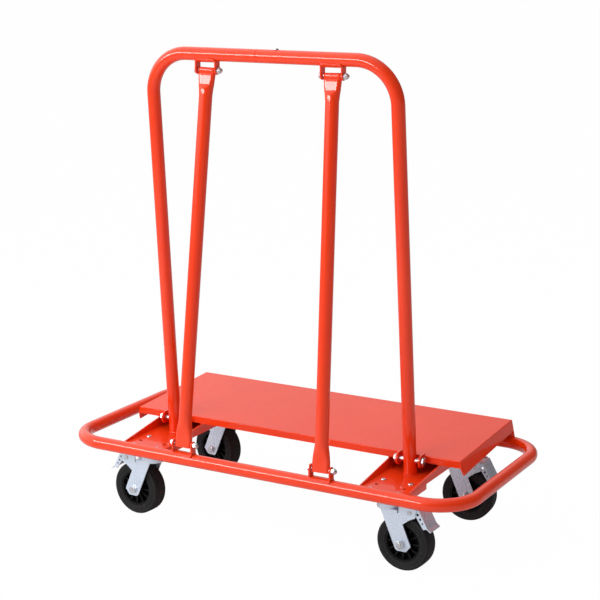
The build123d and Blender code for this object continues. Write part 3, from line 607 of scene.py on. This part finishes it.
def foot_beads(runs):
    """The legs' feet, welded to the webs all round."""
    for node in ("upright_left", "upright_right"):
        low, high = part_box(node)
        side = 1 if high.x > -low.x else -1
        centre = Vector((high.x - TUBE_RADIUS if side > 0 else low.x + TUBE_RADIUS,
                         high.y - TUBE_RADIUS, low.z + 0.5 * MM))
        round_bead(runs, centre, X, Y, TUBE_RADIUS + 0.4 * MM, FOOT_BEAD)


def saddle_beads(runs):
    """The clevises' saddles, welded to their tubes along both long edges."""
    top_low, top_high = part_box("upright_left")
    inset = 3 * MM
    reach = TUBE_RADIUS + 1.0 * MM
    for node, toward, tube_y, tube_z in (
            ("upper_clevises", -1, top_low.y + TUBE_RADIUS, top_high.z - TUBE_RADIUS),
            ("lower_clevises", 1, -RING_HALF_WIDTH, RING_HEIGHT)):
        for low, high in solids(node):
            for side in (-1, 1):
                y = tube_y + reach * sin(SADDLE_EDGE * side)
                z = tube_z + toward * reach * cos(SADDLE_EDGE * side)
                start = Vector((low.x + inset, y, z))
                bead(runs, start, Vector((high.x - inset, y, z)), SADDLE_BEAD, Z)


def ear_beads(runs):
    """The leg ears, welded to the deck's front flange down both sides."""
    deck_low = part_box("deck")[0]
    y = deck_low.y - 0.5 * MM
    for low, high in solids("leg_ears"):
        bottom = max(low.z, deck_low.z + 16 * MM)
        for x in (low.x, high.x):
            bead(runs, Vector((x, y, bottom)), Vector((x, y, high.z - 7 * MM)), EAR_BEAD, Y)


def deck_beads(runs):
    """The deck's back flange, welded to the ring's back tube in four short runs."""
    offset = 0.3 * MM
    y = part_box("deck")[1].y + offset
    z = RING_HEIGHT + TUBE_RADIUS + offset
    half_run = 22
    for x in (-340, -120, 120, 340):
        bead(runs, Vector(((x - half_run) * MM, y, z)), Vector(((x + half_run) * MM, y, z)), DECK_BEAD, Z)


def build_welds():
    """Fillet welds that hold the frame together, as one piece."""
    runs = []
    for add_beads in (web_beads, pad_beads, foot_beads, saddle_beads, ear_beads, deck_beads):
        add_beads(runs)
    points = []
    faces = []
    for rings in runs:
        run_points, run_faces = skin(rings, caps=True)
        offset = len(points)
        points.extend(run_points)
        faces.extend(tuple(index + offset for index in face) for face in run_faces)
    new_piece("frame_welds", points, faces, ENAMEL, ROOT)


# --------------------------------------------------------------------- tyres
# in millimetres
TYRE_SEAT = 43              # radius where the tyre sits on its rim
TYRE_HALF_WIDTH = 20


def ridge(profile, inner, outer, level, raised):
    """Adds a raised flat band to a side wall profile of (radius, half width)."""
    profile += [(outer + 0.45, level), (outer, level + raised)]
    profile += [(inner, level + raised), (inner - 0.45, level)]


def tyre_profile(radius, seat, half):
    """Radius and half width of one side, from the tread's middle to the seat,
    in millimetres: a moulding line, a shallow groove, a round shoulder, and a
    side wall with raised rings."""
    side = half - 0.4
    shoulder = 5.5
    edge = radius - 0.3
    profile = [(radius, 0.0), (radius, 0.3), (radius - 0.25, 0.6), (radius - 0.1, 5.0),
               (radius - 0.15, 9.6), (radius - 0.9, 10.1), (radius - 0.9, 10.9), (radius - 0.25, 11.4)]
    for step in range(7):
        angle = pi / 2 * step / 6
        profile.append((edge - shoulder * (1 - cos(angle)), side - shoulder * (1 - sin(angle))))
    wall = half - 1.5
    profile.append((radius - 7.6, wall + 0.3))
    ridge(profile, radius - 10.6, radius - 9.6, wall, 0.8)
    ridge(profile, radius - 13.8, radius - 12.8, wall - 0.2, 0.7)
    profile += [(seat + 4.6, wall - 0.6), (seat + 4.0, wall + 0.3), (seat + 1.4, wall + 0.3),
                (seat + 0.5, wall), (seat, wall - 1.4)]
    return profile


def build_tyre(name):
    joint = [j for j in frame["joints"] if j["name"] == "wheel_spin_" + name][0]
    centre = Vector(joint["pos_m"])
    axis = Vector(joint["axis"])
    low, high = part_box("tyre_" + name)
    radius = (high.z - low.z) / 2
    side = tyre_profile(radius / MM, TYRE_SEAT, TYRE_HALF_WIDTH)
    profile = [(r, -w) for r, w in reversed(side[1:])] + side
    steps = 120
    ahead = axis.cross(Z)
    rings = []
    for step in range(steps):
        angle = 2 * pi * step / steps
        out = cos(angle) * ahead + sin(angle) * Z
        rings.append([centre + (r * out + w * axis) * MM for r, w in profile])
    points, faces = skin(rings, close_rows=True)
    piece = new_piece("rubber_tyre_" + name, points, faces, RUBBER, "wheel_" + name + "_body")
    sharpen(piece, 38)
    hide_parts("tyre_" + name)


# ---------------------------------------------------------------- the scene
def choose(tree, factor, first, second):
    """A mix of two shaders by a factor that is a socket."""
    node = tree.nodes.new("ShaderNodeMixShader")
    tree.links.new(factor, node.inputs[0])
    tree.links.new(first, node.inputs[1])
    tree.links.new(second, node.inputs[2])
    return node.outputs[0]


def build_stage():
    """A wide pale floor that fills the view, and a white room around it."""
    size = 60
    corners = [(-size, -size, 0), (size, -size, 0), (size, size, 0), (-size, size, 0)]
    mesh = bpy.data.meshes.new("floor")
    mesh.from_pydata(corners, [], [(0, 1, 2, 3)])
    floor = bpy.data.objects.new("floor", mesh)
    bpy.context.scene.collection.objects.link(floor)
    g = Graph("floor")
    g.set(Base_Color=g.mix(g.noise(0.8, 2), (0.82, 0.82, 0.82), (0.84, 0.84, 0.84)), Roughness=0.9,
          Specular_IOR_Level=0.1)
    # the camera sees it lifted towards the white of the room, as an overexposed sweep
    lift = g.tree.nodes.new("ShaderNodeEmission")
    lift.inputs["Strength"].default_value = 1.0
    # and its reflections are dimmed, as the floor in front of the object is in shade
    shade = g.tree.nodes.new("ShaderNodeEmission")
    shade.inputs["Strength"].default_value = 0.0
    path = g.tree.nodes.new("ShaderNodeLightPath")
    dimmed = choose(g.tree, g.math("MULTIPLY", path.outputs["Is Glossy Ray"], 0.3), g.shader.outputs[0],
                    shade.outputs[0])
    seen = g.math("MULTIPLY", path.outputs["Is Camera Ray"], 0.985)
    g.tree.links.new(choose(g.tree, seen, dimmed, lift.outputs[0]), g.out.inputs["Surface"])
    mesh.materials.append(g.material)

    world = bpy.data.worlds.new("studio")
    world.use_nodes = True
    bpy.context.scene.world = world
    tree = world.node_tree
    tree.nodes.clear()
    path = tree.nodes.new("ShaderNodeLightPath")
    # the walls: what the paint and the zinc mirror, and what lights the object
    mirrored = room_light(tree, (-0.80, -0.05, 0.60), 0.1, 0.10, 1.35)
    lighting = room_light(tree, (-0.55, -0.25, 0.79), -0.3, 0.30, 0.70)
    white = tree.nodes.new("ShaderNodeBackground")
    white.inputs["Color"].default_value = (1, 1, 1, 1)
    room = choose(tree, path.outputs["Is Glossy Ray"], lighting, mirrored)
    room = choose(tree, path.outputs["Is Camera Ray"], room, white.outputs[0])
    out = tree.nodes.new("ShaderNodeOutputWorld")
    tree.links.new(room, out.inputs["Surface"])
    bpy.context.scene.view_settings.view_transform = "Standard"


def room_light(tree, side, start, dimmest, brightest):
    """White walls whose brightness grows towards one side. It grows from where
    the cosine of the angle to that side is start."""
    toward = tree.nodes.new("ShaderNodeVectorMath")
    toward.operation = "DOT_PRODUCT"
    toward.inputs[1].default_value = Vector(side).normalized()
    tree.links.new(tree.nodes.new("ShaderNodeTexCoord").outputs["Generated"], toward.inputs[0])
    level = tree.nodes.new("ShaderNodeMapRange")
    level.inputs["From Min"].default_value = start
    level.inputs["From Max"].default_value = 0.9
    level.inputs["To Min"].default_value = dimmest
    level.inputs["To Max"].default_value = brightest
    tree.links.new(toward.outputs["Value"], level.inputs["Value"])
    light = tree.nodes.new("ShaderNodeBackground")
    light.inputs["Color"].default_value = (1, 1, 1, 1)
    tree.links.new(level.outputs[0], light.inputs["Strength"])
    return light.outputs[0]


def area_light(name, place, target, size, power, mirrored):
    """A soft box. The enamel and the zinc show it only if mirrored is true."""
    data = bpy.data.lights.new(name, "AREA")
    data.shape = "RECTANGLE"
    data.size, data.size_y = size
    data.energy = power
    lamp = bpy.data.objects.new(name, data)
    lamp.location = place
    lamp.rotation_euler = (Vector(target) - Vector(place)).to_track_quat("-Z", "Y").to_euler()
    lamp.visible_glossy = mirrored
    bpy.context.scene.collection.objects.link(lamp)


def build_lights():
    area_light("key_strip", (-1.35, -2.25, 1.54), (0, 0, 0.7), (2.4, 0.48), 50, True)
    area_light("top_softbox", (-0.6, 0.4, 3.8), (0, 0, 0.3), (2.6, 2.0), 40, False)


def build_camera():
    """Three-quarter view from the brace side, a little above the deck."""
    azimuth = radians(29.4)
    elevation = radians(12.9)
    distance = 3.612
    target = Vector((-9.7, 0, 527.4)) * MM
    back = Vector((sin(azimuth) * cos(elevation), -cos(azimuth) * cos(elevation), sin(elevation)))
    data = bpy.data.cameras.new("camera")
    data.angle = radians(21.87)
    camera = bpy.data.objects.new("camera", data)
    camera.location = target + distance * back
    camera.rotation_euler = back.to_track_quat("Z", "Y").to_euler()
    bpy.context.scene.collection.objects.link(camera)
    bpy.context.scene.camera = camera


paint_cad_nodes()
build_ring()
build_upright("upright_left")
build_upright("upright_right")
build_braces()
build_welds()
for caster in CASTERS:
    build_tyre(caster)
build_stage()
build_lights()
build_camera()
